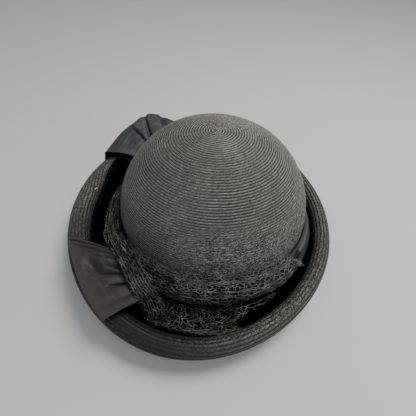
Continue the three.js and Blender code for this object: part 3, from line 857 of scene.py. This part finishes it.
def on_gather(along, across, lift):
    """A place on the gathered net: its runs of thread lie in folds along it."""
    outer, inner = (Vector([through([spot[k] for spot in side], along) for k in range(3)])
                    for side in GATHER_BORDERS)
    folds = 1.5 * math.sin(across * 16 + 2.5 * math.sin(along * 9))
    arch = 3.2 * math.sin(math.pi * clamp01(across)) - 1.6
    return outer.lerp(inner, across) + Vector((0, 0, lift + arch + folds))


def on_loose(along, across, lift):
    out, z = (through([row[k] for row in LOOSE], across) for k in range(2))
    torn = 13 * across + 3 * math.sin(across * 17)
    degrees = lerp(LOOSE_FROM, LOOSE_TO - torn, along)
    return station(degrees / 360).at(min(41, out), z + lift)


def net_threads(place, columns, rows, slack, seed, hem=True):
    """Rows of thread that are caught to each other at every second knot, so that the holes
    have six sides, with each knot pulled out of place. place(u, v) takes shares along and
    across the piece of net, which has torn edges where it has no hem."""
    chance = random.Random(seed)

    def knot(i, j):
        caught = 0.16 if (i + j) % 2 else -0.16
        u = (i + chance.uniform(-slack, slack)) / columns
        v = (j + caught + 0.75 * chance.uniform(-slack, slack)) / rows
        return place(clamp01(u), clamp01(v))

    knots = [[knot(i, j) for i in range(columns + 1)] for j in range(rows + 1)]
    ties = [[knots[j][i], knots[j + 1][i]]
            for j in range(rows) for i in range(columns + 1) if (i + j) % 2]
    return (knots if hem else knots[1:-1]) + ties


def loose_ends(centre, size, count, seed):
    """Ends and small loops of thread that stand about in a bunch."""
    chance = random.Random(seed)
    threads = []
    for _ in range(count):
        spot = Vector([chance.uniform(-1, 1) * reach for reach in size])
        way = Vector([chance.uniform(-1, 1) for _ in range(3)]).normalized()
        thread = []
        for _ in range(chance.randint(4, 8)):
            thread.append(Vector(centre) + spot)
            turn = Vector([chance.uniform(-1, 1) for _ in range(3)])
            pull = Vector([-spot[k] / size[k] for k in range(3)])
            way = (way + turn * 0.7 + pull * 0.5).normalized()
            spot = spot + way * 1.7
        threads.append(thread)
    return threads


def thread_mesh(name, threads, material, seed, radius=THREAD):
    """Threads as fine tubes, a little thicker at each knot and bowed in between."""
    chance = random.Random(seed)
    curve = bpy.data.curves.new(name, "CURVE")
    curve.dimensions = "3D"
    curve.bevel_depth = radius * MM
    curve.bevel_resolution = 0
    curve.use_fill_caps = True
    for thread in threads:
        points = []
        for a, b in zip(thread, thread[1:]):
            bow = Vector([chance.uniform(-1, 1) for _ in range(3)]) * (b - a).length * 0.14
            points += [(a, 1.3), ((a + b) / 2 + bow, 0.85)]
        points.append((thread[-1], 1.3))
        spline = curve.splines.new("POLY")
        spline.points.add(len(points) - 1)
        for target, (spot, thick) in zip(spline.points, points):
            target.co = (*(spot * MM), 1)
            target.radius = thick
    holder = bpy.data.objects.new(name, curve)
    mesh = bpy.data.meshes.new_from_object(holder)
    bpy.data.objects.remove(holder)
    bm = bmesh.new()
    bm.from_mesh(mesh)
    bmesh.ops.scale(bm, vec=(1 / MM, 1 / MM, 1 / MM), verts=bm.verts)
    return finished(bm, name, material, merge=1e-5)


def crumpled(surface, size, depth, seed, sink=0.0):
    """Lets a piece of net stand up and sink in folds of about that size."""
    def place(u, v):
        flat = surface(u, v, 0)
        fold = noise.noise(flat / size + Vector((seed, 0, 0)))
        crease = noise.noise(flat / (size * 0.4) + Vector((0, seed, 0)))
        return surface(u, v, depth * (1.6 * fold + 0.8 * crease) - sink)
    return place


def on_flap(along, across, lift):
    """A few holes of net that hang free beside the loose net."""
    out = lerp(13, 25 - 9 * along, across)
    return station(lerp(282, 304, along) / 360).at(out, 25 - 4 * across + lift)


def drawn_threads(place, count, seed):
    """Threads that run tight along the net, as where it is gathered into folds."""
    chance = random.Random(seed)
    threads = []
    for _ in range(count):
        across, start, length = chance.random(), chance.uniform(-0.1, 0.6), chance.uniform(0.3, 0.5)
        thread = []
        for step in range(19):
            across = clamp01(across + chance.uniform(-0.018, 0.018))
            along = start + length * step / 18
            if 0 <= along <= 1:
                thread.append(place(along, across))
        threads.append(thread)
    return threads


def make_veil():
    """Four nets. Each piece in them is crumpled by the size, depth, seed and sink of its folds,
    and has its columns, rows, slack and seed, or its count and seed where it is drawn tight."""
    def net_between(first, last, top=0.0):
        return lambda u, v, lift: on_net(lerp(first, last, u), lerp(top, 1, v), lift)

    first, last = NET_ROUND[0][0], NET_ROUND[-1][0]
    left, right = net_between(215, 268), net_between(256, 318)
    outer = (net_threads(crumpled(left, 9, 1.5, 7.3), 32, 13, 0.42, 1, hem=False)
             + net_threads(crumpled(left, 8, 1.5, 9.3), 20, 9, 0.45, 9, hem=False)
             + drawn_threads(crumpled(left, 8, 1.4, 2.2, -0.4), 8, 31)
             + net_threads(crumpled(on_loose, 7, 3.2, 22.2, 0.5), 30, 7, 0.45, 6, hem=False))
    strip = (net_threads(crumpled(on_gather, 6, 2.1, 5.1), 66, 8, 0.4, 4, hem=False)
             + drawn_threads(crumpled(on_gather, 6, 2.1, 5.1, -0.3), 16, 8)
             + net_threads(crumpled(on_loose, 6, 3.0, 2.2, 2.5), 24, 6, 0.5, 16, hem=False))
    front = (net_threads(crumpled(right, 8, 1.5, 3.3), 42, 12, 0.45, 17, hem=False)
             + net_threads(crumpled(right, 7, 1.3, 6.3, 0.4), 30, 7, 0.45, 19, hem=False)
             + drawn_threads(crumpled(right, 8, 1.2, 1.2, -0.3), 9, 33)
             + net_threads(crumpled(on_flap, 7, 2.5, 31), 8, 3, 0.45, 10, hem=False)
             + loose_ends(KNOT, (4.5, 4.5, 3), 20, 21))
    # The inner nets are drawn near black: a painted shade under the veil.
    inner = (net_threads(crumpled(net_between(first, last, 0.42), 10, 1, 14.6, 2.0), 150, 8, 0.33, 2)
             + net_threads(crumpled(net_between(first, last, 0.36), 10, 1, 4.6, 1.7),
                           150, 8, 0.33, 3)
             + net_threads(crumpled(on_gather, 9, 1.2, 25, 4.4), 90, 14, 0.4, 5)
             + net_threads(crumpled(on_loose, 8, 2.5, 26, 3.8), 30, 8, 0.4, 7, hem=False))
    return (thread_mesh("veil_net_outer", outer, NET, 11, 0.23),
            thread_mesh("veil_net_gathered", strip, NET_GATHERED, 13),
            thread_mesh("veil_net_front", front, NET_BLUISH, 14),
            thread_mesh("veil_net_inner", inner, NET_UNDER_SHADE, 12, 0.3))


def make_lint():
    """A bent red thread near the crown's tip and two scraps of white lint."""
    red_spots = (0.19, 17), (0.27, 13.5), (0.36, 9), (0.5, 5.5)       # turn, length from the tip
    red = [on_crown(0.32 - 0.4 * (turn - 0.19), along) + Vector((0, 0, 0.6))
           for turn, along in red_spots]
    scraps = loose_ends((-131, 17.5, 44.9), (0.6, 0.6, 0.15), 2, 5)
    scraps += loose_ends((14.8, -102.3, 42), (0.5, 0.5, 0.2), 1, 6)
    return (thread_mesh("red_thread", [red], plain_thread("faded_red_cotton", "#6b3531"), 1, 0.2),
            thread_mesh("white_lint", scraps, plain_thread("white_lint", "#e8e6e0"), 2, 0.2))


# ---- floor, light, camera -----------------------------------------------------------
def make_floor():
    bm = bmesh.new()
    half_width = 3000
    bmesh.ops.create_grid(bm, x_segments=1, y_segments=1, size=half_width)
    material, _, shader = new_material("pale_matt_paper")
    shader.inputs["Base Color"].default_value = linear("#d9d8d6")
    shader.inputs["Roughness"].default_value = 0.9
    piece = finished(bm, "floor", material)


def area_light(name, place, target, size, power, colour):
    data = bpy.data.lights.new(name, "AREA")
    data.shape, data.size = "DISK", size
    data.energy, data.color = power, linear(colour)[:3]
    lamp = bpy.data.objects.new(name, data)
    lamp.location = place
    lamp.rotation_euler = (Vector(target) - Vector(place)).to_track_quat("-Z", "Y").to_euler()
    bpy.context.scene.collection.objects.link(lamp)


def make_light():
    world = bpy.data.worlds.new("studio")
    world.use_nodes = True
    background = world.node_tree.nodes["Background"]
    background.inputs["Color"].default_value = linear("#e6eaf0")
    background.inputs["Strength"].default_value = 0.47
    bpy.context.scene.world = world
    area_light("key", (0.38, 0.1, 1.05), (0, 0, 0.06), 0.5, 9.6, "#fffaf2")
    area_light("fill", (0.4, -0.7, 0.9), (0, 0, 0.05), 0.8, 2.0, "#f2f5ff")


def make_camera():
    place = Vector((-5.006, -236.508, 283.914)) * MM
    tilt, roll = math.radians(46.0), math.radians(2.38)
    data = bpy.data.cameras.new("camera")
    data.sensor_width, data.lens = 36, 27.0
    data.clip_start, data.clip_end = 0.01, 50
    camera = bpy.data.objects.new("camera", data)
    camera.matrix_world = (Matrix.Translation(place)
                           @ Matrix.Rotation(TURN / 4 - tilt, 4, "X")
                           @ Matrix.Rotation(roll, 4, "Z"))
    bpy.context.scene.collection.objects.link(camera)
    bpy.context.scene.camera = camera


# ---- the hat ------------------------------------------------------------------------
make_camera()
make_light()
make_floor()

crown = make_crown()
brim = make_brim()
facing = make_facing()
band = make_band()
front_loop = make_loop("ribbon_loop_front", FRONT_LOOP, FRONT_FOLDS, FRONT_HOLLOWS,
                       FRONT_RIBBON, FRONT_LOOP_ACROSS, 0.07)
rear_loop = make_loop("ribbon_loop_rear", REAR_LOOP, REAR_FOLDS, REAR_HOLLOWS,
                      REAR_RIBBON, REAR_LOOP_ACROSS, 0.02, drop=8)
nets = make_veil()
lint = make_lint()

for piece, node, slot in ((crown, "crown", "crown_straw"), (brim, "brim", "brim_straw"),
                          (facing, "velvet_facing", "velvet"),
                          (band, "ribbon_band", "band_ribbon"),
                          (front_loop, "bow_loop_front", "bow_ribbon"),
                          (rear_loop, "bow_loop_rear", "bow_ribbon"),
                          *((net, "veil", "veil_net") for net in nets)):
    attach(piece, "root")
    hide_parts(node)

for piece in lint:
    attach(piece, "root")
